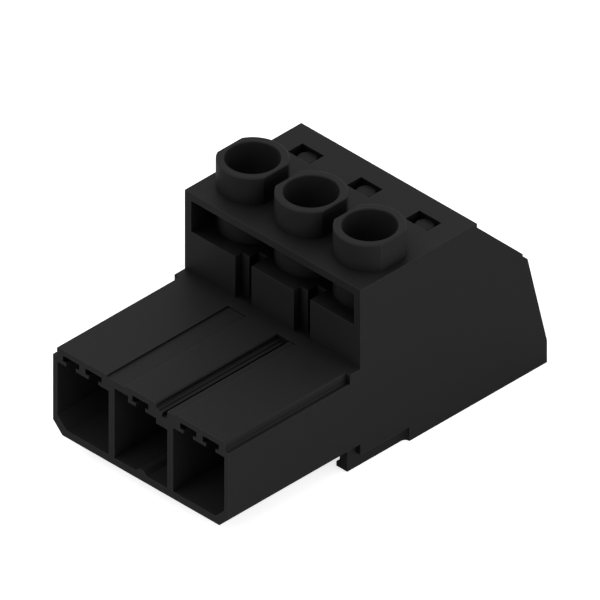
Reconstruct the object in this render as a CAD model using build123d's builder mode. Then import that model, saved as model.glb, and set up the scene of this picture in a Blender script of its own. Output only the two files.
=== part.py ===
"""Three-pole cable plug with screw clamps, in millimetres.

The shroud that mates with the board header points to -Y, the wires enter at +Y and
the screwdriver channels open upwards. The origin is the middle of the footprint, on
the plane that the plug stands on.
"""

from build123d import *
from math import atan2, cos, sin, tan
import os

# Poles
pole_count = 3
pitch = 7.62
width = pole_count * pitch
pole_centres = [(index - (pole_count - 1) / 2) * pitch for index in range(pole_count)]
gap_centres = [x + pitch / 2 for x in pole_centres[:-1]]

# Overall form, seen from the side
overall_length = 41.40
hood_length = 17.14
foot_height = 1.58
hood_height = 9.63
body_height = 18.48
top_length = 15.16
rear_edge_land = 0.42
slope_run = 5.95
slope_step = 0.23
slope_tail = 0.63
steep_base_height = 0.88

# Mating hood
hood_side_wall = 0.56
hood_partition = 0.72
hood_floor = 0.80
hood_ceiling_height = 7.97
hood_corner_chamfer = 1.22
hood_inner_chamfer = 1.15
hood_chamber_depth = 16.0
rabbet_width = 0.52
rabbet_depth = 1.02
rabbet_length = 15.80
hood_edge_radius = 0.20
ledge_edge_radius = 0.12

# Keyways in the ceiling of the hood
keyway_mouth_width = 1.28
keyway_width = 2.14
keyway_lip_height = 8.35
keyway_top_height = 9.00
keyway_offset = 1.46
middle_keyway_offset = 0.06
middle_hook_web = 0.52
middle_relief_height = 8.63
groove_boss_width = 1.45
groove_boss_height = 7.40
floor_ridge_base = 1.40
floor_ridge_top = 0.50
floor_ridge_height = 0.40
floor_ridge_offset = 0.05

# Recesses on top of the hood, the right one with the coding groove
recess_outer = 4.42
recess_inner = 1.95
recess_depth = 0.20
groove_ledge_width = 0.40
groove_ledge_depth = 0.56
groove_step_width = 0.40
groove_step_depth = 0.70
groove_slot_width = 0.71
groove_slot_depth = 1.15
groove_edge_radius = 0.08

# Front window and panels of the body
window_side_wall = 0.83
window_sill_height = 14.19
top_plate = 0.84
panel_slot_width = 2.14
panel_slot_depth = 0.93
panel_rib_width = 0.92
panel_gap_depth = 0.95
sill_notch_depth = 1.20
sill_notch_drop = 1.10

# Screwdriver channels
screw_axis_depth = 5.02
channel_outer_radius = 3.405
channel_bore_radius = 2.61
channel_height = 3.02
channel_rim_chamfer = 0.10
channel_mouth_chamfer = 0.05
channel_flat = 3.02
channel_bore_length = 5.0

# Marker wells behind the channels
well_length = 1.87
well_width = 2.85
well_distance = 6.96
well_depth = 6.0
well_undercut = 0.45
post_radius = 1.09
post_drop = 0.48
post_shift = 0.18
post_edge_radius = 0.30

# Rails and base under the body
rail_start = 15.97
rail_end = 23.50
rail_inset = 0.55
rail_web = 1.00
rail_lip = 0.43
rail_lip_height = 0.60
rail_fillet = 0.25
rail_lip_radius = 0.12
recess_corner_radius = 0.50
match_tolerance = 0.01

# Clamp chambers and wire channels
chamber_width = 6.30
chamber_floor = 1.00
chamber_half_length = 2.45
channel_roof = 9.30
wire_mouth_radius = 0.80
wire_mouth_chamfer = 0.55
travel_clearance = 0.20

# Clamp yoke
yoke_side_gap = 0.15
yoke_end_gap = 0.25
yoke_wall = 0.80
yoke_nut_wall = 1.50
yoke_corner_radius = 0.70
yoke_floor_gap = 0.40
wire_space_height = 4.20
clamp_closed_gap = 0.20

# Contact
contact_thickness = 0.90
contact_bend_radius = 0.75
bar_side_gap = 0.20
bar_top_gap = 0.30
bar_overhang = 2.60
blade_width = 3.00
blade_height = 4.40
blade_tip_recess = 4.60
blade_tip_chamfer = 0.25
leg_depth = 1.35
contact_seat = 0.02

# Clamp screw
screw_radius = 1.50
thread_clearance = 0.05
screw_head_radius = 2.33
screw_head_clearance = 0.07
screw_head_height = 2.00
screw_head_chamfer = 0.20
screw_neck_clearance = 0.10
screw_tip_gap = 0.05
screw_tip_chamfer = 0.35
screw_seat_gap = 0.05
screw_seat_wall = 0.60
slot_width = 0.80
slot_depth = 0.90
cross_length = 2.60

# Heights above the standing plane
hood_bottom = foot_height
hood_top = hood_bottom + hood_height
body_top = hood_bottom + body_height
rim_top = body_top + channel_height
window_sill = hood_bottom + window_sill_height
window_top = body_top - top_plate

# Coding groove, from its left wall to its right wall
groove_step = recess_inner + groove_ledge_width
groove_slot = groove_step + groove_step_width
groove_end = groove_slot + groove_slot_width

# Places along the plug, from the front of the hood
front_y = -overall_length / 2
rear_y = overall_length / 2
body_front = front_y + hood_length
screw_y = body_front + screw_axis_depth
chamber_front = screw_y - chamber_half_length
chamber_rear = screw_y + chamber_half_length
hood_chamber_end = front_y + hood_chamber_depth

# Steep rear face, from its top edge to its bottom edge
steep_top_y = body_front + top_length + slope_run + slope_tail
steep_top_z = body_top - rear_edge_land - slope_run - slope_step - slope_tail
steep_bottom_z = hood_bottom + steep_base_height
steep_lean = atan2(rear_y - steep_top_y, steep_top_z - steep_bottom_z)

# Stack of the open clamp, upwards from the chamber floor
chamber_floor_z = hood_bottom + chamber_floor
yoke_bottom = chamber_floor_z + yoke_floor_gap
yoke_floor_z = yoke_bottom + yoke_wall
bar_bottom = yoke_floor_z + wire_space_height
bar_top = bar_bottom + contact_thickness
yoke_nut_bottom = bar_top + bar_top_gap
yoke_top = yoke_nut_bottom + yoke_nut_wall
clamp_travel = wire_space_height - clamp_closed_gap
chamber_roof_z = yoke_top + clamp_travel + travel_clearance
wire_roof_z = hood_bottom + channel_roof

yoke_width = chamber_width - 2 * yoke_side_gap
yoke_length = 2 * (chamber_half_length - yoke_end_gap)
yoke_inner_width = yoke_width - 2 * yoke_wall
bar_width = yoke_inner_width - 2 * bar_side_gap

head_bore_radius = screw_head_radius + screw_head_clearance
head_seat_z = chamber_roof_z + screw_seat_wall
head_bottom = head_seat_z + screw_seat_gap
channel_bore_end = rim_top - channel_bore_length


def section_at(y):
    """Plane across the plug at y, with +X to the right and +Z up."""
    return Plane.XZ.offset(-y)


def side_at(x):
    """Plane along the plug at x, with +Y to the right and +Z up."""
    return Plane.YZ.offset(x)


def level_at(z):
    """Horizontal plane at height z."""
    return Plane.XY.offset(z)


def block(x_low, x_high, z_low, z_high, mode=Mode.ADD):
    """Rectangle between two pairs of limits in the open sketch."""
    with Locations(((x_low + x_high) / 2, (z_low + z_high) / 2)):
        return Rectangle(x_high - x_low, z_high - z_low, mode=mode)


def round_corners(sketch, radius, *places):
    """Rounds the corners of a sketch that lie at the given places."""
    corners = [sketch.vertices().sort_by_distance((x, z, 0))[0] for x, z in places]
    fillet(corners, radius=radius)


def body_outline():
    """Side outline of the body, from the front of its underside round the rear."""
    top_end = body_front + top_length
    land_z = body_top - rear_edge_land
    slope_end = top_end + slope_run
    slope_z = land_z - slope_run
    return [
        (body_front, hood_bottom),
        (body_front, body_top),
        (top_end, body_top),
        (top_end, land_z),
        (slope_end, slope_z),
        (slope_end, slope_z - slope_step),
        (steep_top_y, steep_top_z),
        (rear_y, steep_bottom_z),
        (rear_y, 0),
        (front_y + rail_end, 0),
        (front_y + rail_end, hood_bottom),
    ]


with BuildPart() as channel_tube:
    # Round wall of one screwdriver channel inside the window
    with BuildSketch():
        Circle(channel_outer_radius)
    extrude(amount=window_top - window_sill)

with BuildPart() as channel_collar:
    # Collar of one channel above the top plate, flattened towards its neighbours
    with BuildSketch():
        Circle(channel_outer_radius)
        Rectangle(2 * channel_flat, 3 * channel_outer_radius, mode=Mode.INTERSECT)
    extrude(amount=channel_height)
    chamfer(channel_collar.faces().sort_by(Axis.Z)[-1].edges(), length=channel_rim_chamfer)

with BuildPart() as marker_post:
    # Round post with a softened rim, standing in a marker well
    with BuildSketch():
        Circle(post_radius)
    extrude(amount=well_depth - post_drop)
    fillet(marker_post.edges().group_by(Axis.Z)[-1], radius=post_edge_radius)

with BuildPart() as housing:
    # Body as one side outline across all the poles
    with BuildSketch(side_at(-width / 2)):
        with BuildLine():
            Polyline(body_outline(), close=True)
        make_face()
    extrude(amount=width)

    # Rear part of the mating hood, with its two chamfered lower edges
    with BuildSketch(section_at(front_y + rabbet_length)) as hood_root:
        block(-width / 2, width / 2, hood_bottom, hood_top)
        chamfer(hood_root.vertices().group_by(Axis.Y)[0], length=hood_corner_chamfer)
    extrude(amount=-(hood_length - rabbet_length))

    # Front part, with rabbets along its upper sides, two recesses and the coding groove
    with BuildSketch(section_at(front_y)) as hood_face:
        block(-width / 2, width / 2, hood_bottom, hood_top)
        chamfer(hood_face.vertices().group_by(Axis.Y)[0], length=hood_corner_chamfer)
        shoulder = width / 2 - rabbet_width
        ledge_z = hood_top - rabbet_depth
        for side in (-1, 1):
            low, high = sorted((side * shoulder, side * width / 2))
            block(low, high, ledge_z, hood_top, mode=Mode.SUBTRACT)
            low, high = sorted((side * recess_inner, side * recess_outer))
            block(low, high, hood_top - recess_depth, hood_top, mode=Mode.SUBTRACT)
        for left, right, depth in ((recess_inner, groove_step, groove_ledge_depth),
                                   (groove_step, groove_slot, groove_step_depth),
                                   (groove_slot, groove_end, groove_slot_depth)):
            block(left, right, hood_top - depth, hood_top, mode=Mode.SUBTRACT)
        round_corners(hood_face, hood_edge_radius, (-shoulder, hood_top), (shoulder, hood_top),
                      (recess_inner, hood_top))
        round_corners(hood_face, ledge_edge_radius, (-shoulder, ledge_z), (shoulder, ledge_z),
                      (-width / 2, ledge_z), (width / 2, ledge_z))
        round_corners(hood_face, groove_edge_radius, (recess_inner, hood_top - groove_ledge_depth),
                      (groove_step, hood_top - groove_ledge_depth),
                      (groove_slot, hood_top - groove_step_depth))
    extrude(amount=-rabbet_length)

    # Chambers of the hood with the keyways in their ceilings
    middle_half = (pitch - hood_partition) / 2
    with BuildSketch(section_at(front_y)) as chamber_face:
        ceiling = hood_bottom + hood_ceiling_height
        floor = hood_bottom + hood_floor
        for x in pole_centres:
            left = max(x - middle_half, -width / 2 + hood_side_wall)
            right = min(x + middle_half, width / 2 - hood_side_wall)
            block(left, right, floor, ceiling)
        low_corners = chamber_face.vertices().group_by(Axis.Y)[0].sort_by(Axis.X)
        chamfer([low_corners[0], low_corners[-1]], length=hood_inner_chamfer)
        block(middle_half - groove_boss_width, middle_half,
              hood_bottom + groove_boss_height, ceiling, mode=Mode.SUBTRACT)
        lip_z = hood_bottom + keyway_lip_height
        keyway_top = hood_bottom + keyway_top_height
        outer_keyways = [x + side * keyway_offset
                         for x in (pole_centres[0], pole_centres[-1]) for side in (-1, 1)]
        for x in outer_keyways + [-middle_keyway_offset]:
            block(x - keyway_mouth_width / 2, x + keyway_mouth_width / 2, ceiling, lip_z)
            block(x - keyway_width / 2, x + keyway_width / 2, lip_z, keyway_top)
        hook_left = -middle_keyway_offset - keyway_width / 2 - middle_hook_web
        block(-middle_half, hook_left, ceiling, hood_bottom + middle_relief_height)
    extrude(amount=-hood_chamber_depth, mode=Mode.SUBTRACT)

    # Sloped ridge along the floor of the middle chamber
    with BuildSketch(section_at(hood_chamber_end)):
        with BuildLine():
            Polyline(
                (floor_ridge_offset - floor_ridge_base / 2, floor),
                (floor_ridge_offset + floor_ridge_base / 2, floor),
                (floor_ridge_offset + floor_ridge_top / 2, floor + floor_ridge_height),
                (floor_ridge_offset - floor_ridge_top / 2, floor + floor_ridge_height),
                close=True,
            )
        make_face()
    extrude(amount=hood_chamber_depth)

    # Front window across all the poles
    window_half = width / 2 - window_side_wall
    with BuildSketch(section_at(body_front)):
        block(-window_half, window_half, window_sill, window_top)
    extrude(amount=-screw_axis_depth, mode=Mode.SUBTRACT)

    # Slots between the front panels, each with a rib and a deeper gap
    with BuildSketch(section_at(body_front)):
        for x in gap_centres:
            block(x - panel_slot_width / 2, x + panel_slot_width / 2, hood_top, window_sill)
    extrude(amount=-panel_slot_depth, mode=Mode.SUBTRACT)
    with BuildSketch(section_at(body_front)):
        for x in gap_centres:
            gap_left = x - panel_slot_width / 2 + panel_rib_width
            block(gap_left, x + panel_slot_width / 2, hood_top, window_sill)
    extrude(amount=-(panel_slot_depth + panel_gap_depth), mode=Mode.SUBTRACT)
    with BuildSketch(section_at(body_front)):
        for x in gap_centres:
            gap_left = x - panel_slot_width / 2 + panel_rib_width
            block(gap_left, x + panel_slot_width / 2, window_sill - sill_notch_drop, window_sill)
    extrude(amount=-(panel_slot_depth + sill_notch_depth), mode=Mode.SUBTRACT)

    # Round screwdriver channels, through the window and above the top plate
    with Locations([(x, screw_y, window_sill) for x in pole_centres]):
        add(channel_tube.part)
    with Locations([(x, screw_y, body_top) for x in pole_centres]):
        add(channel_collar.part)

    # Bores of the channels, with a narrower seat for each screw head
    with BuildSketch(level_at(rim_top)):
        with Locations([(x, screw_y) for x in pole_centres]):
            Circle(channel_bore_radius)
    extrude(amount=-channel_bore_length, mode=Mode.SUBTRACT)
    with BuildSketch(level_at(channel_bore_end)):
        with Locations([(x, screw_y) for x in pole_centres]):
            Circle(head_bore_radius)
    extrude(amount=head_seat_z - channel_bore_end, mode=Mode.SUBTRACT)
    with BuildSketch(level_at(head_seat_z)):
        with Locations([(x, screw_y) for x in pole_centres]):
            Circle(screw_radius + screw_neck_clearance)
    extrude(amount=chamber_roof_z - head_seat_z, mode=Mode.SUBTRACT)
    bore_rims = housing.edges().filter_by(GeomType.CIRCLE).group_by(Axis.Z)[-1]
    chamfer(bore_rims, length=channel_mouth_chamfer)

    # Clamp chambers
    with BuildSketch(level_at(chamber_floor_z)):
        with Locations([(x, screw_y) for x in pole_centres]):
            Rectangle(chamber_width, 2 * chamber_half_length)
    extrude(amount=chamber_roof_z - chamber_floor_z, mode=Mode.SUBTRACT)

    # Wire channels from the rear face to the chambers, with bevelled mouths
    with BuildSketch(section_at(rear_y)) as wire_face:
        for x in pole_centres:
            half = chamber_width / 2
            block(x - half, x + half, chamber_floor_z, wire_roof_z)
        fillet(wire_face.vertices(), radius=wire_mouth_radius)
    extrude(amount=rear_y - chamber_rear, mode=Mode.SUBTRACT)
    mouth_z = (chamber_floor_z + wire_roof_z) / 2
    mouth_y = rear_y - (mouth_z - steep_bottom_z) * tan(steep_lean)
    mouth_height = (wire_roof_z - chamber_floor_z) / cos(steep_lean)
    steep_plane = Plane(origin=(0, mouth_y, mouth_z), x_dir=(-1, 0, 0),
                        z_dir=(0, cos(steep_lean), sin(steep_lean)))
    with BuildSketch(steep_plane):
        with Locations([(x, 0) for x in pole_centres]):
            RectangleRounded(chamber_width + 2 * wire_mouth_chamfer,
                             mouth_height + 2 * wire_mouth_chamfer,
                             wire_mouth_radius + wire_mouth_chamfer)
    extrude(amount=-wire_mouth_chamfer, taper=45, mode=Mode.SUBTRACT)

    # Passage of the contact, from the hood chamber to the clamp chamber
    blade_low = hood_bottom + blade_height - contact_thickness / 2 - contact_seat
    blade_high = hood_bottom + blade_height + contact_thickness / 2 + contact_seat
    leg_front = body_front + leg_depth - contact_bend_radius - contact_seat
    with BuildSketch(section_at(hood_chamber_end)):
        for x in pole_centres:
            half = blade_width / 2 + contact_seat
            block(x - half, x + half, blade_low, blade_high)
    extrude(amount=-(leg_front - hood_chamber_end), mode=Mode.SUBTRACT)
    with BuildSketch(section_at(leg_front)):
        for x in pole_centres:
            half = bar_width / 2 + contact_seat
            block(x - half, x + half, blade_low, bar_top + contact_seat)
    extrude(amount=-(chamber_front - leg_front), mode=Mode.SUBTRACT)

    # Marker wells with a round post in each
    well_y = screw_y + well_distance
    post_y = well_y + post_shift
    with BuildSketch(level_at(body_top)):
        with Locations([(x, well_y) for x in pole_centres]):
            Rectangle(well_width, well_length)
    extrude(amount=-well_depth, mode=Mode.SUBTRACT)
    with BuildSketch(level_at(window_top)):
        with Locations([(x, post_y) for x in pole_centres]):
            Rectangle(well_width, 2 * (post_radius + well_undercut))
    extrude(amount=-(well_depth - top_plate), mode=Mode.SUBTRACT)
    with Locations([(x, post_y, body_top - well_depth) for x in pole_centres]):
        add(marker_post.part)

    # Rails under the hood and the front of the body
    rail_outer = width / 2 - rail_inset
    rail_inner = rail_outer - rail_web
    with BuildSketch(section_at(front_y + rail_start)):
        for side in (-1, 1):
            tip = rail_inner - rail_lip
            corners = [
                (rail_outer, hood_bottom + hood_floor),
                (rail_outer, 0),
                (tip, 0),
                (tip, rail_lip_height),
                (rail_inner, rail_lip_height),
                (rail_inner, hood_bottom + hood_floor),
            ]
            with BuildLine():
                FilletPolyline([(side * x, z) for x, z in corners],
                               radius=[0, 0, 0, rail_lip_radius, rail_fillet, 0], close=True)
            make_face()
    extrude(amount=-(rail_end - rail_start))
    recess_corners = housing.edges().filter_by(Axis.Z).filter_by(
        lambda edge: abs(abs(edge.center().X) - rail_outer) < match_tolerance
        and abs(edge.center().Y - front_y - rail_end) < match_tolerance)
    fillet(recess_corners, radius=recess_corner_radius)

housing.part.label = "housing"


def make_contact(x):
    """Blade, riser and current bar of one pole, folded from one strip."""
    blade_z = hood_bottom + blade_height
    bar_z = bar_bottom + contact_thickness / 2
    tip_y = front_y + blade_tip_recess
    leg_y = body_front + leg_depth
    bar_end = chamber_rear + bar_overhang
    with BuildPart() as contact:
        with BuildSketch(side_at(x - bar_width / 2)):
            with BuildLine():
                FilletPolyline(
                    (tip_y, blade_z),
                    (leg_y, blade_z),
                    (leg_y, bar_z),
                    (bar_end, bar_z),
                    radius=contact_bend_radius,
                )
            trace(line_width=contact_thickness)
        extrude(amount=bar_width)
        blade_end = leg_y - contact_bend_radius
        with BuildSketch(level_at(blade_z - contact_thickness)):
            for side in (-1, 1):
                side_low = x + side * blade_width / 2
                side_high = x + side * bar_width
                with Locations(((side_low + side_high) / 2, (tip_y + blade_end) / 2)):
                    Rectangle(abs(side_high - side_low), blade_end - tip_y)
        extrude(amount=2 * contact_thickness, mode=Mode.SUBTRACT)
        tip_edges = contact.faces().sort_by(Axis.Y)[0].edges()
        chamfer(tip_edges, length=blade_tip_chamfer)
    return contact.part


def make_yoke(x):
    """Closed clamp yoke of one pole, with the threaded wall above the current bar."""
    with BuildPart() as yoke:
        with BuildSketch(section_at(screw_y - yoke_length / 2)):
            block(x - yoke_width / 2, x + yoke_width / 2, yoke_bottom, yoke_top)
        extrude(amount=-yoke_length)
        fillet(yoke.edges().filter_by(Axis.Y), radius=yoke_corner_radius)
        with BuildSketch(section_at(screw_y - yoke_length / 2)):
            half = yoke_inner_width / 2
            block(x - half, x + half, yoke_floor_z, yoke_nut_bottom)
        extrude(amount=-yoke_length, mode=Mode.SUBTRACT)
        with BuildSketch(level_at(yoke_top)):
            with Locations((x, screw_y)):
                Circle(screw_radius + thread_clearance)
        extrude(amount=-yoke_nut_wall, mode=Mode.SUBTRACT)
    return yoke.part


def make_screw(x):
    """Clamp screw of one pole, with a slot and a cross in its head."""
    head_top = head_bottom + screw_head_height
    tip_z = bar_top + screw_tip_gap
    with BuildPart() as screw:
        with BuildSketch(level_at(tip_z)):
            with Locations((x, screw_y)):
                Circle(screw_radius)
        extrude(amount=head_bottom - tip_z)
        chamfer(screw.edges().sort_by(Axis.Z)[0], length=screw_tip_chamfer)
        with BuildSketch(level_at(head_bottom)):
            with Locations((x, screw_y)):
                Circle(screw_head_radius)
        extrude(amount=screw_head_height)
        chamfer(screw.edges().sort_by(Axis.Z)[-1], length=screw_head_chamfer)
        with BuildSketch(level_at(head_top)):
            with Locations((x, screw_y)):
                Rectangle(3 * screw_head_radius, slot_width)
                Rectangle(slot_width, cross_length)
        extrude(amount=-slot_depth, mode=Mode.SUBTRACT)
    return screw.part


os.makedirs("parts", exist_ok=True)
export_step(housing.part, "parts/housing.step")
for number, centre in enumerate(pole_centres, start=1):
    contact_part = make_contact(centre)
    contact_part.label = f"contact_{number}"
    export_step(contact_part, f"parts/contact_{number}.step")
    yoke_part = make_yoke(centre)
    yoke_part.label = f"clamp_yoke_{number}"
    export_step(yoke_part, f"parts/clamp_yoke_{number}.step")
    screw_part = make_screw(centre)
    screw_part.label = f"clamp_screw_{number}"
    export_step(screw_part, f"parts/clamp_screw_{number}.step")
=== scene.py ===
"""Dresses the three-pole cable plug: moulded housing, tinned contacts, steel yokes and screws."""

import logging
import math
from dataclasses import dataclass, replace
from enum import Enum
from typing import Any

import bmesh
import bpy
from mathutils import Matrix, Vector


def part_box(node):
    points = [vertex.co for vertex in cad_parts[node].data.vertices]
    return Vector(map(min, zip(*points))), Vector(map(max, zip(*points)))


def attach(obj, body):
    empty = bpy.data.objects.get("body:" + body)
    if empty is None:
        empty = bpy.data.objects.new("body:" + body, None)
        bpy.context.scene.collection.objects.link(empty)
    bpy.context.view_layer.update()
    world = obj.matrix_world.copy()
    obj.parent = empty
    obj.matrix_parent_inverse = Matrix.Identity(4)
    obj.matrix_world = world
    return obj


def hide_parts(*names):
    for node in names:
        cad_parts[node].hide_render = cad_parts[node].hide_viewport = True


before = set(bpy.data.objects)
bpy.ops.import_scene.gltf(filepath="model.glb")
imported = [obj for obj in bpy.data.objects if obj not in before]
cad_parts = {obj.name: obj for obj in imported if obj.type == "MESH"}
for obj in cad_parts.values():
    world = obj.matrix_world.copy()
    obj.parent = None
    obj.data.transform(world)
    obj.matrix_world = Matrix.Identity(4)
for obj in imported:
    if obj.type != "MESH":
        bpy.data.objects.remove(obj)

log = logging.getLogger("plug")

Triple = tuple[float, float, float]
Colour = tuple[float, float, float, float]

MM = 0.001
POLES = (1, 2, 3)
PITCH = 7.62 * MM
ROOT_BODY = "plug_body"

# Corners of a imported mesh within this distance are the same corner.
MERGE_DISTANCE = 0.0005 * MM

# Edges that turn by this much or more stay sharp.
CREASE_DEGREES = 20.0

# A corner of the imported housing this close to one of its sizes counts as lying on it.
SNAP = 0.005 * MM

QUARTER_TURN = math.pi / 2
BEVEL_SAMPLES = 6
OCCLUSION_SAMPLES = 8
WHITE: Colour = (1.0, 1.0, 1.0, 1.0)


class Slot(Enum):
    """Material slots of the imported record."""

    HOUSING = "housing_plastic"
    CONTACT = "tinned_copper"
    YOKE = "yoke_steel"
    SCREW = "screw_steel"


def add_node(
    tree: bpy.types.NodeTree, kind: str, settings: dict[str, Any], inputs: dict[Any, Any]
) -> bpy.types.Node:
    """Adds a node to a shader or geometry tree, sets it and links it.

    Args:
        tree: The tree that the node goes into.
        kind: The node's type.
        settings: Attributes of the node, set before its sockets.
        inputs: Numbers, colours or output sockets for its sockets, by index or name.

    Returns:
        The node.
    """
    made = tree.nodes.new(kind)
    for key, setting in settings.items():
        setattr(made, key, setting)
    for key, value in inputs.items():
        if isinstance(value, bpy.types.NodeSocket):
            tree.links.new(value, made.inputs[key])
        else:
            made.inputs[key].default_value = value
    return made


@dataclass(frozen=True)
class Grain:
    """One noise of a finish, with its grains per millimetre."""

    per_mm: float
    detail: float = 2.0
    roughness: float = 0.5
    stretch: Triple = (1.0, 1.0, 1.0)


class Value:
    """One output socket of a shader tree, which takes part in Python sums."""

    def __init__(self, tree: "ShaderTree", socket: bpy.types.NodeSocket) -> None:
        """Wraps a socket.

        Args:
            tree: The tree that the socket belongs to.
            socket: The output socket itself.
        """
        self.tree = tree
        self.socket = socket

    def _math(self, operation: str, *terms: Any) -> "Value":
        """Adds one Math node and returns its result."""
        return self.tree.node("ShaderNodeMath", {"operation": operation}, dict(enumerate(terms)))

    def __add__(self, other: Any) -> "Value":
        """Sum."""
        return self._math("ADD", self, other)

    def __sub__(self, other: Any) -> "Value":
        """Difference."""
        return self._math("SUBTRACT", self, other)

    def __rsub__(self, other: Any) -> "Value":
        """Difference with a number on the left."""
        return self._math("SUBTRACT", other, self)

    def __mul__(self, other: Any) -> "Value":
        """Product."""
        return self._math("MULTIPLY", self, other)

    def __rmul__(self, other: Any) -> "Value":
        """Product with a number on the left."""
        return self._math("MULTIPLY", other, self)

    def either(self, other: "Value") -> "Value":
        """The larger of two values."""
        return self._math("MAXIMUM", self, other)

    def near(self, place: float, reach: float) -> "Value":
        """1 where the value lies within reach of a place, 0 elsewhere."""
        return self._math("COMPARE", self, place, reach)

    def wrapped(self, low: float, high: float) -> "Value":
        """The value folded into a span that repeats."""
        return self._math("WRAP", self, high, low)


class ShaderTree:
    """The node tree of a new material or world, built call by call."""

    def __init__(self, owner: bpy.types.Material | bpy.types.World) -> None:
        """Empties the owner's tree.

        Args:
            owner: The material or world that the tree belongs to.
        """
        owner.use_nodes = True
        self.owner = owner
        self.tree = owner.node_tree
        self.tree.nodes.clear()

    def node(
        self, kind: str, settings: dict[str, Any], inputs: dict[Any, Any], output: Any = 0
    ) -> Value:
        """Adds a node that takes Values as well as plain ones, and wraps what it gives.

        Args:
            kind: The node's type.
            settings: Attributes of the node, set before its sockets.
            inputs: Numbers, colours or Values for its sockets, by index or name.
            output: Index or name of the output to return.

        Returns:
            The chosen output.
        """
        plain = {key: term.socket if isinstance(term, Value) else term
                 for key, term in inputs.items()}
        return Value(self, add_node(self.tree, kind, settings, plain).outputs[output])

    def place(self, stretch: Triple = (1.0, 1.0, 1.0)) -> Value:
        """Gives Object coordinates in millimetres.

        Args:
            stretch: Factor along each axis.

        Returns:
            The coordinates, as a vector.
        """
        coords = self.node("ShaderNodeTexCoord", {}, {}, "Object")
        size = tuple(part / MM for part in stretch)
        return self.node("ShaderNodeMapping", {}, {"Vector": coords, "Scale": size})

    def axis(self, name: str) -> Value:
        """One Object coordinate, in millimetres."""
        return self.node("ShaderNodeSeparateXYZ", {}, {"Vector": self.place()}, name)

    def ray(self, kind: str) -> Value:
        """1 for one kind of ray, 0 for the others."""
        return self.node("ShaderNodeLightPath", {}, {}, f"Is {kind} Ray")

    def noise(self, grain: Grain) -> Value:
        """Adds one noise of a finish.

        Args:
            grain: Its size, detail and stretch.

        Returns:
            The noise, from 0 to 1.
        """
        inputs = {
            "Vector": self.place(grain.stretch), "Scale": grain.per_mm,
            "Detail": grain.detail, "Roughness": grain.roughness,
        }
        return self.node("ShaderNodeTexNoise", {}, inputs, "Fac")

    def blend(self, factor: Value, first: Any, second: Any) -> Value:
        """Colour that goes from first to second as the factor rises."""
        inputs = {0: factor, 6: first, 7: second}
        return self.node("ShaderNodeMix", {"data_type": "RGBA"}, inputs, 2)

    def rounded(self, radius_mm: float) -> Value:
        """Normal of the surface as if its edges were rounded."""
        settings = {"samples": BEVEL_SAMPLES}
        return self.node("ShaderNodeBevel", settings, {"Radius": radius_mm * MM}, "Normal")

    def relief(self, height: Value, depth_mm: float, round_mm: float) -> Value:
        """Gives the normal of a surface with a fine relief and with rounded edges.

        Args:
            height: Height of the relief, from about 0 to 1.
            depth_mm: Depth that a height of 1 stands for.
            round_mm: Radius of the rounded edges.

        Returns:
            The normal.
        """
        inputs = {
            "Strength": 1.0, "Distance": depth_mm * MM,
            "Height": height, "Normal": self.rounded(round_mm),
        }
        return self.node("ShaderNodeBump", {}, inputs, "Normal")

    def openness(self, reach_mm: float) -> Value:
        """Tells the open faces of a piece from its recesses.

        Args:
            reach_mm: How far away a wall of the same piece still counts.

        Returns:
            1 on an open face, less where such walls stand near.
        """
        settings = {"samples": OCCLUSION_SAMPLES, "only_local": True}
        inputs = {"Distance": reach_mm * MM}
        return self.node("ShaderNodeAmbientOcclusion", settings, inputs, "AO")

    def sharpness(self, reach_mm: float) -> Value:
        """Finds the edges of a piece, outer and inner ones alike.

        Args:
            reach_mm: Width of the band along each edge.

        Returns:
            0 on a flat face, up to about 0.3 along a square edge.
        """
        faced = self.node("ShaderNodeNewGeometry", {}, {}, "Normal")
        inputs = {0: self.rounded(reach_mm), 1: faced}
        settings = {"operation": "DOT_PRODUCT"}
        return 1.0 - self.node("ShaderNodeVectorMath", settings, inputs, "Value")

    def surface(self, inputs: dict[str, Any]) -> bpy.types.Material:
        """Ends the tree in a Principled shader and returns the material."""
        self.finish(self.node("ShaderNodeBsdfPrincipled", {}, inputs))
        return self.owner

    def finish(self, shader: Value) -> None:
        """Links a shader to the output of the material or world."""
        kind = "World" if isinstance(self.owner, bpy.types.World) else "Material"
        add_node(self.tree, f"ShaderNodeOutput{kind}", {}, {"Surface": shader.socket})


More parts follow.
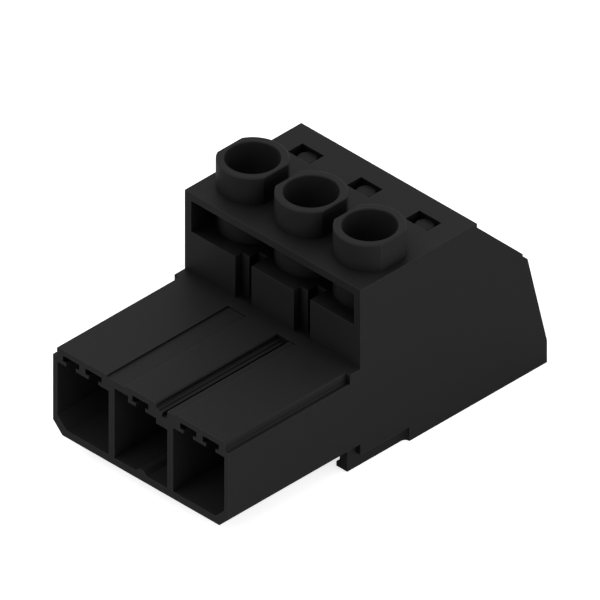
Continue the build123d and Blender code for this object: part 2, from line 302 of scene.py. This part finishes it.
@dataclass(frozen=True)
class MouldedNylon:
    """Matte black glass-filled nylon, fine-grained, with a painted highlight along its edges and
    painted shade in its recesses.
    """

    colour: Colour = (0.0100, 0.0100, 0.0102, 1.0)
    pale: Colour = (0.0120, 0.0120, 0.0122, 1.0)
    roughness: float = 0.56
    roughness_swing: float = 0.10
    specular: float = 0.10
    cloud: Grain = Grain(0.35, 3.0)
    grain: Grain = Grain(9.0, 3.0, 0.6)
    fibre: Grain = Grain(3.0, stretch=(1.0, 0.25, 1.0))
    cloud_share: float = 0.55
    fibre_share: float = 0.25
    grain_share: float = 0.20
    fibre_relief: float = 0.3
    relief_mm: float = 0.0014
    edge_mm: float = 0.045
    # Paler colour painted along the edges as a highlight.
    painted_highlight: Colour = (0.036, 0.036, 0.036, 1.0)
    painted_highlight_reach_mm: float = 0.10
    painted_highlight_gain: float = 5.0
    # Near-black colour painted into recesses and inner corners as shade, by ambient occlusion.
    painted_shade: Colour = (0.0005, 0.0005, 0.0005, 1.0)
    painted_shade_reach_mm: float = 4.4
    painted_shade_gain: float = 2.5
    painted_shade_openness: float = 0.34

    def material(self) -> bpy.types.Material:
        """Builds the finish.

        Returns:
            A new material.
        """
        tree = ShaderTree(bpy.data.materials.new("moulded_nylon"))
        cloud, grain, fibre = (tree.noise(part) for part in (self.cloud, self.grain, self.fibre))
        tone = self.cloud_share * cloud + self.fibre_share * fibre + self.grain_share * grain
        # Painted shade: the colour goes towards near black where walls of the same piece stand
        # near.
        open_face = tree.openness(self.painted_shade_reach_mm)
        outside_painted_shade = self.painted_shade_gain * (open_face - self.painted_shade_openness)
        # Painted highlight: edges get a paler colour. An inner corner is as sharp as an outer one,
        # but only half as open, so the painted highlight stays on outer edges.
        outer = 2.0 * open_face - 1.0
        painted_highlight = self.painted_highlight_gain * tree.sharpness(self.painted_highlight_reach_mm) * outer
        face = tree.blend(painted_highlight, tree.blend(tone, self.colour, self.pale), self.painted_highlight)
        swing = self.roughness_swing * (cloud - 0.5) + self.roughness_swing * (grain - 0.5)
        height = grain + self.fibre_relief * fibre
        return tree.surface({
            "Base Color": tree.blend(outside_painted_shade, self.painted_shade, face),
            "Roughness": swing + self.roughness,
            "Specular IOR Level": self.specular,
            "Normal": tree.relief(height, self.relief_mm, self.edge_mm),
        })


@dataclass(frozen=True)
class Seam:
    """Dark line of a lapped joint, level across the middle of each pole."""

    height_mm: float
    half_length_mm: float = 2.4
    half_width_mm: float = 0.03
    colour: Colour = (0.05, 0.05, 0.055, 1.0)
    added_roughness: float = 0.2
    reliefs_deep: float = 20.0

    def mask(self, tree: ShaderTree) -> Value:
        """Draws the line in a material.

        Args:
            tree: Tree of the material.

        Returns:
            1 on the line, 0 elsewhere.
        """
        half_pitch = PITCH / MM / 2
        across = tree.axis("X").wrapped(-half_pitch, half_pitch)
        level = tree.axis("Z").near(self.height_mm, self.half_width_mm)
        return level * across.near(0.0, self.half_length_mm)


@dataclass(frozen=True)
class PlatedMetal:
    """Plated metal with clouds in its tone and the fine lines of its making."""

    name: str
    colour: Colour
    pale: Colour
    roughness: float
    cloud: Grain
    lines: Grain
    cloud_swing: float = 0.16
    line_swing: float = 0.10
    relief_mm: float = 0.0010
    edge_mm: float = 0.05
    seam: Seam | None = None

    def material(self) -> bpy.types.Material:
        """Builds the finish.

        Returns:
            A new material.
        """
        tree = ShaderTree(bpy.data.materials.new(self.name))
        cloud, lines = tree.noise(self.cloud), tree.noise(self.lines)
        tone = tree.blend(cloud, self.colour, self.pale)
        swing = self.cloud_swing * (cloud - 0.5) + self.line_swing * (lines - 0.5)
        height = lines
        if self.seam:
            mask = self.seam.mask(tree)
            tone = tree.blend(mask, tone, self.seam.colour)
            swing = swing + self.seam.added_roughness * mask
            height = lines - self.seam.reliefs_deep * mask
        return tree.surface({
            "Base Color": tone,
            "Metallic": 1.0,
            "Roughness": swing + self.roughness,
            "Normal": tree.relief(height, self.relief_mm, self.edge_mm),
        })


# Rolled strip has its lines along Y, a turned screw has them round Z.
TIN_PLATE = PlatedMetal(
    name="tin_plate", colour=(0.60, 0.59, 0.56, 1.0), pale=(0.74, 0.73, 0.70, 1.0),
    roughness=0.34, cloud=Grain(1.1, 3.0), lines=Grain(14.0, stretch=(1.0, 0.06, 1.0)),
    cloud_swing=0.12, line_swing=0.08, relief_mm=0.0008,
)
TURNED_ZINC = PlatedMetal(
    name="turned_zinc", colour=(0.55, 0.56, 0.58, 1.0), pale=(0.72, 0.73, 0.75, 1.0),
    roughness=0.30, cloud=Grain(1.6, 4.0, 0.6), lines=Grain(11.0, stretch=(0.08, 0.08, 1.0)),
)
FOLDED_ZINC = PlatedMetal(
    name="folded_zinc", colour=(0.50, 0.51, 0.54, 1.0), pale=(0.66, 0.67, 0.70, 1.0),
    roughness=0.38, cloud=Grain(1.4, 4.0, 0.6), lines=Grain(12.0, stretch=(1.0, 0.08, 1.0)),
    edge_mm=0.06,
)


class GrownTree:
    """A Geometry Nodes tree that takes a piece's mesh and adds to it, with named sizes."""

    def __init__(self, name: str, sizes: dict[str, float], material: bpy.types.Material) -> None:
        """Makes the tree's inputs.

        Args:
            name: Name of the tree.
            sizes: Named inputs with their values, in metres or as plain counts.
            material: Material that the whole result gets.
        """
        self.tree = bpy.data.node_groups.new(name, "GeometryNodeTree")
        self.sizes = sizes
        self.material = material
        interface = self.tree.interface
        interface.new_socket("Geometry", in_out="INPUT", socket_type="NodeSocketGeometry")
        for label, size in sizes.items():
            kind = "NodeSocketInt" if isinstance(size, int) else "NodeSocketFloat"
            interface.new_socket(label, in_out="INPUT", socket_type=kind)
        interface.new_socket("Geometry", in_out="OUTPUT", socket_type="NodeSocketGeometry")
        self.start = self.tree.nodes.new("NodeGroupInput")

    def size(self, label: str) -> bpy.types.NodeSocket:
        """Socket of one named size."""
        return self.start.outputs[label]

    def node(
        self, kind: str, settings: dict[str, Any], inputs: dict[Any, Any]
    ) -> bpy.types.NodeSocket:
        """Adds a node and returns its first output."""
        return add_node(self.tree, kind, settings, inputs).outputs[0]

    def vector(self, x: Any = 0.0, y: Any = 0.0) -> bpy.types.NodeSocket:
        """Level vector of two numbers or sockets."""
        return self.node("ShaderNodeCombineXYZ", {}, {0: x, 1: y})

    def row(self, count: str, offset: bpy.types.NodeSocket) -> bpy.types.NodeSocket:
        """Row of points, as many as the named size says."""
        inputs = {"Count": self.size(count), "Offset": offset}
        return self.node("GeometryNodeMeshLine", {}, inputs)

    def copies(
        self, points: bpy.types.NodeSocket, shape: bpy.types.NodeSocket
    ) -> bpy.types.NodeSocket:
        """One copy of a shape on each point."""
        inputs = {"Points": points, "Instance": shape}
        return self.node("GeometryNodeInstanceOnPoints", {}, inputs)

    def circle(self, sides: int, radius: str) -> bpy.types.NodeSocket:
        """Closed curve with a number of sides and a named radius."""
        inputs = {"Resolution": sides, "Radius": self.size(radius)}
        return self.node("GeometryNodeCurvePrimitiveCircle", {}, inputs)

    def close(self, grown: bpy.types.NodeSocket, place: Triple) -> None:
        """Moves what was made to its place, joins it to the piece's mesh and ends the tree.

        Args:
            grown: What the tree made.
            place: Where its origin goes.
        """
        inputs = {"Geometry": grown, "Translation": place}
        placed = self.node("GeometryNodeTransform", {}, inputs)
        join = self.tree.nodes.new("GeometryNodeJoinGeometry")
        self.tree.links.new(placed, join.inputs[0])
        self.tree.links.new(self.size("Geometry"), join.inputs[0])
        whole = self.node("GeometryNodeRealizeInstances", {}, {0: join.outputs[0]})
        inputs = {"Geometry": whole, "Material": self.material}
        dressed = self.node("GeometryNodeSetMaterial", {}, inputs)
        end = self.tree.nodes.new("NodeGroupOutput")
        self.tree.links.new(dressed, end.inputs[0])

    def apply(self, piece: bpy.types.Object) -> None:
        """Runs the tree on a piece and keeps the result as its plain mesh.

        Args:
            piece: The piece whose mesh goes into the tree.
        """
        modifier = piece.modifiers.new(self.tree.name, "NODES")
        modifier.node_group = self.tree
        for item in self.tree.interface.items_tree:
            if item.in_out == "INPUT" and item.name in self.sizes:
                modifier[item.identifier] = self.sizes[item.name]
        graph = bpy.context.evaluated_depsgraph_get()
        mesh = bpy.data.meshes.new_from_object(piece.evaluated_get(graph))
        piece.modifiers.clear()
        old, piece.data = piece.data, mesh
        bpy.data.meshes.remove(old)
        mesh.name = piece.name


def linked(name: str, data: bpy.types.ID) -> bpy.types.Object:
    """Puts a mesh, camera or light into the scene.

    Args:
        name: Name of the new object.
        data: The mesh, camera or light.

    Returns:
        The object, at the origin.
    """
    piece = bpy.data.objects.new(name, data)
    bpy.context.scene.collection.objects.link(piece)
    return piece


def merged_copy(node: str, name: str) -> bpy.types.Object:
    """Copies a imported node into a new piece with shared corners, smooth but for its sharp edges.

    Args:
        node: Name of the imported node.
        name: Name of the new piece.

    Returns:
        The piece, at the origin, linked to the scene.
    """
    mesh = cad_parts[node].data.copy()
    mesh.name = name
    mesh.materials.clear()
    if "custom_normal" in mesh.attributes:
        mesh.attributes.remove(mesh.attributes["custom_normal"])
    work = bmesh.new()
    work.from_mesh(mesh)
    bmesh.ops.remove_doubles(work, verts=work.verts, dist=MERGE_DISTANCE)
    for face in work.faces:
        face.smooth = True
    for edge in work.edges:
        edge.smooth = edge.calc_face_angle(math.pi) < math.radians(CREASE_DEGREES)
    work.to_mesh(mesh)
    work.free()
    return linked(name, mesh)


def keep(piece: bpy.types.Object, node: str, body: str) -> None:
    """Lets a finished piece stand for its node and ride on its body.

    Args:
        piece: The piece.
        node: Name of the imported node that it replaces.
        body: Name of the body that carries it.
    """
    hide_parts(node)
    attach(piece, body)
    log.info("%s: %d faces, rides on %s", piece.name, len(piece.data.polygons), body)


@dataclass
class Housing:
    """The black moulding that carries everything else."""

    print_radius: float = 0.90 * MM
    print_rise: float = 0.02 * MM
    print_sides: int = 32
    bead_sides: int = 6
    print_columns: int = 3
    print_rows: int = 2
    print_spacing: float = 9.0 * MM
    print_front: float = 4.0 * MM
    hood_underside: float = 1.58 * MM
    screw_y: float = 1.46 * MM
    mouth_radius: float = 2.61 * MM
    mouth_chamfer: float = 0.05 * MM
    mouth_widened: float = 0.03 * MM
    mouth_deepened: float = 0.07 * MM

    def prints(self, material: bpy.types.Material) -> GrownTree:
        """Tree that adds the rims of the ejector pins' prints under the hood.

        Args:
            material: Material of the moulding.

        Returns:
            The tree.
        """
        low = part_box("housing")[0]
        tree = GrownTree("ejector_prints", {
            "Print radius": self.print_radius, "Print rise": self.print_rise,
            "Columns": self.print_columns, "Rows": self.print_rows,
            "Column spacing": PITCH, "Row spacing": self.print_spacing,
        }, material)
        ring = tree.circle(self.print_sides, "Print radius")
        bead = tree.circle(self.bead_sides, "Print rise")
        rim = tree.node("GeometryNodeCurveToMesh", {}, {"Curve": ring, "Profile Curve": bead})
        columns = tree.row("Columns", tree.vector(x=tree.size("Column spacing")))
        rows = tree.row("Rows", tree.vector(y=tree.size("Row spacing")))
        points = tree.node("GeometryNodeRealizeInstances", {}, {0: tree.copies(rows, columns)})
        first = (-PITCH, low[1] + self.print_front, self.hood_underside)
        tree.close(tree.copies(points, rim), first)
        return tree

    def ease_mouths(self, mesh: bpy.types.Mesh) -> None:
        """Widens the chamfer at the mouth of each screwdriver channel.

        Args:
            mesh: Mesh of the moulding.
        """
        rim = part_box("housing")[1][2]
        for vert in mesh.vertices:
            middle = round(vert.co.x / PITCH) * PITCH
            out = Vector((vert.co.x - middle, vert.co.y - self.screw_y))
            depth, reach = rim - vert.co.z, out.length - self.mouth_radius
            if abs(reach - self.mouth_chamfer) < SNAP and depth < SNAP:
                out *= 1 + self.mouth_widened / out.length
                vert.co.x, vert.co.y = middle + out.x, self.screw_y + out.y
            elif abs(reach) < SNAP and abs(depth - self.mouth_chamfer) < SNAP:
                vert.co.z -= self.mouth_deepened

    def build(self, finish: MouldedNylon) -> None:
        """Makes the moulding and dresses it.

        Args:
            finish: Finish of the moulding.
        """
        piece = merged_copy("housing", "moulded_housing")
        self.ease_mouths(piece.data)
        self.prints(finish.material()).apply(piece)
        keep(piece, "housing", ROOT_BODY)


@dataclass
class ClampScrews:
    """The three clamp screws, with rolled right-hand threads on their shanks."""

    crest_radius: float = 1.50 * MM
    root_radius: float = 1.23 * MM
    shank_slack: float = 0.05 * MM
    neck_slack: float = 0.01 * MM
    thread_pitch: float = 0.50 * MM
    head_height: float = 2.00 * MM
    plain_tip: float = 0.40 * MM
    plain_neck: float = 0.55 * MM
    crest_flat: float = 0.06 * MM
    root_flat: float = 0.06 * MM
    sunk: float = 0.04 * MM
    steps_per_turn: int = 28

    def build(self, finish: PlatedMetal) -> None:
        """Makes the screws and dresses them.

        Args:
            finish: Finish of the screws.
        """
        material = finish.material()
        for pole in POLES:
            node = f"clamp_screw_{pole}"
            low, high = (Vector(corner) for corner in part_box(node))
            piece = merged_copy(node, f"threaded_screw_{pole}")
            middle = (low + high) / 2
            neck = high.z - self.head_height
            self.slim(piece.data, middle, neck)
            tip = low.z + self.plain_tip
            self.thread(middle, tip, neck - self.plain_neck, material).apply(piece)
            keep(piece, node, f"screw_{pole}")

    def slim(self, mesh: bpy.types.Mesh, middle: Vector, neck: float) -> None:
        """Draws the shank's plain cylinder in to the root of the thread.

        Args:
            mesh: Mesh of the screw.
            middle: A point on the screw's axis.
            neck: Height at which the shank meets the head.
        """
        for vert in mesh.vertices:
            out = Vector((vert.co.x - middle.x, vert.co.y - middle.y))
            on_shank = abs(out.length - self.crest_radius) < self.shank_slack
            if on_shank and vert.co.z < neck + self.neck_slack:
                out *= self.root_radius / out.length
                vert.co.x, vert.co.y = middle.x + out.x, middle.y + out.y

    def thread(
        self, middle: Vector, low: float, high: float, material: bpy.types.Material
    ) -> GrownTree:
        """Tree that winds the ridge of the thread round the shank.

        Args:
            middle: A point on the screw's axis.
            low: Height at which the thread starts.
            high: Height at which it ends.
            material: Material of the screw.

        Returns:
            The tree.
        """
        height = self.crest_radius - self.root_radius + self.sunk
        tree = GrownTree(f"thread_{middle.x / MM:.0f}", {
            "Path radius": self.crest_radius - height / 2, "Ridge height": height,
            "Crest width": self.crest_flat, "Foot width": self.thread_pitch - self.root_flat,
            "Length": high - low, "Turns": (high - low) / self.thread_pitch,
            "Steps": self.steps_per_turn,
        }, material)
        path = tree.node("GeometryNodeCurveSpiral", {}, {
            "Resolution": tree.size("Steps"), "Rotations": tree.size("Turns"),
            "Start Radius": tree.size("Path radius"), "End Radius": tree.size("Path radius"),
            "Height": tree.size("Length"), "Reverse": True,
        })
        upright = tree.node("GeometryNodeSetCurveNormal", {"mode": "Z_UP"}, {"Curve": path})
        section = tree.node("GeometryNodeCurvePrimitiveQuadrilateral", {"mode": "TRAPEZOID"}, {
            "Height": tree.size("Ridge height"), "Bottom Width": tree.size("Foot width"),
            "Top Width": tree.size("Crest width"), "Offset": 0.0,
        })
        turned = {"Geometry": section, "Rotation": (0.0, 0.0, QUARTER_TURN)}
        outward = tree.node("GeometryNodeTransform", {}, turned)
        swept = {"Curve": upright, "Profile Curve": outward, "Fill Caps": True}
        ridge = tree.node("GeometryNodeCurveToMesh", {}, swept)
        facets = {"Geometry": ridge, "Shade Smooth": False}
        tree.close(tree.node("GeometryNodeSetShadeSmooth", {}, facets), (middle.x, middle.y, low))
        return tree


@dataclass
class ClampYokes:
    """The three yokes, with gripping ridges across the floor that presses on the wire."""

    wall: float = 0.80 * MM
    nut_wall: float = 1.50 * MM
    ridge_height: float = 0.12 * MM
    ridge_sides: int = 4
    ridge_spacing: float = 0.70 * MM
    ridge_count: int = 5
    ridge_inset: float = 1.05 * MM

    def build(self, finish: PlatedMetal) -> None:
        """Makes the yokes and dresses them, with a seam along the middle of the nut wall.

        Args:
            finish: Finish of the strip that the yokes are folded from.
        """
        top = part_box("clamp_yoke_2")[1][2]
        seam = Seam(height_mm=(top - self.nut_wall / 2) / MM)
        material = replace(finish, seam=seam).material()
        for pole in POLES:
            node = f"clamp_yoke_{pole}"
            low, high = (Vector(corner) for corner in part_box(node))
            piece = merged_copy(node, f"ridged_yoke_{pole}")
            self.ridges(low, high, material).apply(piece)
            keep(piece, node, f"yoke_{pole}")

    def ridges(self, low: Vector, high: Vector, material: bpy.types.Material) -> GrownTree:
        """Tree that lays the ridges side by side on the yoke's floor.

        Args:
            low: Lowest corner of the yoke.
            high: Highest corner of the yoke.
            material: Material of the yoke.

        Returns:
            The tree.
        """
        tree = GrownTree(f"grip_{low.x / MM:.0f}", {
            "Ridge length": high.x - low.x - 2 * self.ridge_inset,
            "Ridge height": self.ridge_height,
            "Spacing": self.ridge_spacing, "Count": self.ridge_count,
        }, material)
        length, settings = tree.size("Ridge length"), {"operation": "MULTIPLY"}
        ends = [tree.vector(x=tree.node("ShaderNodeMath", settings, {0: length, 1: half}))
                for half in (-0.5, 0.5)]
        line = tree.node("GeometryNodeCurvePrimitiveLine", {}, {"Start": ends[0], "End": ends[1]})
        section = tree.circle(self.ridge_sides, "Ridge height")
        swept = {"Curve": line, "Profile Curve": section, "Fill Caps": True}
        bar = tree.node("GeometryNodeCurveToMesh", {}, swept)
        points = tree.row("Count", tree.vector(y=tree.size("Spacing")))
        middle = (low + high) / 2
        first = middle.y - self.ridge_spacing * (self.ridge_count - 1) / 2
        tree.close(tree.copies(points, bar), (middle.x, first, low.z + self.wall))
        return tree


@dataclass
class Contacts:
    """The three folded contacts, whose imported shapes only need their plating."""

    def build(self, finish: PlatedMetal) -> None:
        """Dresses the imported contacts.

        Args:
            finish: Finish of the contacts.
        """
        material = finish.material()
        for pole in POLES:
            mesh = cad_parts[f"contact_{pole}"].data
            mesh.materials.clear()
            mesh.materials.append(material)
            log.info("contact_%d: packed mesh, tin plated", pole)


@dataclass(frozen=True)
class Lamp:
    """One soft square lamp, placed from the point that the camera looks at."""

    name: str
    place_mm: Triple
    power: float
    size: float = 0.35


@dataclass
class Studio:
    """Floor, light and camera."""

    lamps: tuple[Lamp, ...] = (
        Lamp("right", (400.0, 0.0, 50.0), 0.54),
        Lamp("right_back", (250.0, 250.0, 200.0), 0.48),
        Lamp("right_front", (330.0, -200.0, 100.0), 0.21),
        Lamp("front", (0.0, -380.0, 130.0), 0.17),
        Lamp("front_high", (0.0, -260.0, 300.0), 0.57),
        Lamp("top_left", (-220.0, 0.0, 330.0), 0.39),
    )
    image_px: float = 600.0
    px_per_mm: float = 10.875
    azimuth: float = 45.0
    elevation: float = 35.0
    target_mm: Triple = (0.0, 0.0, 11.57)
    distance: float = 0.25
    clip_start: float = 0.001
    floor_size: float = 2.0
    floor_height: float = -0.01 * MM
    paper: Colour = (0.82, 0.82, 0.82, 1.0)
    floor_seen: float = 0.75
    floor_mirrored: float = 0.10
    world_strength: float = 0.195

    def camera(self) -> None:
        """Places the parallel camera of the photograph."""
        turn, rise = math.radians(self.azimuth), math.radians(self.elevation)
        level = math.cos(rise)
        back = Vector((math.sin(turn) * level, -math.cos(turn) * level, math.sin(rise)))
        data = bpy.data.cameras.new("camera")
        data.type = "ORTHO"
        data.ortho_scale = self.image_px / self.px_per_mm * MM
        data.clip_start = self.clip_start
        camera = linked("camera", data)
        camera.location = Vector(self.target_mm) * MM + back * self.distance
        camera.rotation_euler = back.to_track_quat("Z", "Y").to_euler()
        bpy.context.scene.camera = camera

    def floor(self) -> None:
        """Pale floor that shows white to the camera and keeps a faint shadow."""
        half, low = self.floor_size / 2, self.floor_height
        corners = [(-half, -half, low), (half, -half, low), (half, half, low), (-half, half, low)]
        mesh = bpy.data.meshes.new("floor")
        mesh.from_pydata(corners, [], [(0, 1, 2, 3)])
        tree = ShaderTree(bpy.data.materials.new("floor_paper"))
        matte = tree.node("ShaderNodeBsdfDiffuse", {}, {"Color": self.paper})
        strength = self.floor_seen * tree.ray("Camera") + self.floor_mirrored * tree.ray("Glossy")
        glow = tree.node("ShaderNodeEmission", {}, {"Strength": strength})
        tree.finish(tree.node("ShaderNodeAddShader", {}, {0: matte, 1: glow}))
        mesh.materials.append(tree.owner)
        linked("floor", mesh)

    def world(self) -> None:
        """White background, with an even light of its own strength on the object."""
        bpy.context.scene.world = bpy.data.worlds.new("studio")
        tree = ShaderTree(bpy.context.scene.world)
        seen = tree.ray("Camera").either(tree.ray("Glossy")).either(tree.ray("Transmission"))
        strength = (1.0 - self.world_strength) * seen + self.world_strength
        inputs = {"Color": WHITE, "Strength": strength}
        tree.finish(tree.node("ShaderNodeBackground", {}, inputs))

    def lamp(self, lamp: Lamp) -> None:
        """Adds one lamp that points at the target.

        Args:
            lamp: The lamp.
        """
        place = Vector(lamp.place_mm) * MM
        data = bpy.data.lights.new(lamp.name, "AREA")
        data.energy = lamp.power
        data.size = lamp.size
        light = linked(lamp.name, data)
        light.location = Vector(self.target_mm) * MM + place
        light.rotation_euler = place.to_track_quat("Z", "Y").to_euler()

    def build(self) -> None:
        """Makes the whole studio."""
        bpy.context.scene.view_settings.view_transform = "Standard"
        self.camera()
        self.floor()
        self.world()
        for lamp in self.lamps:
            self.lamp(lamp)
        log.info("studio: %d lamps", len(self.lamps))


def main() -> None:
    """Builds the plug's pieces in order, then the studio."""
    logging.basicConfig(level=logging.INFO, format="%(name)s: %(message)s")
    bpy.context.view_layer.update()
    Housing().build(MouldedNylon())
    Contacts().build(TIN_PLATE)
    ClampYokes().build(FOLDED_ZINC)
    ClampScrews().build(TURNED_ZINC)
    Studio().build()


if __name__ == "__main__":
    main()
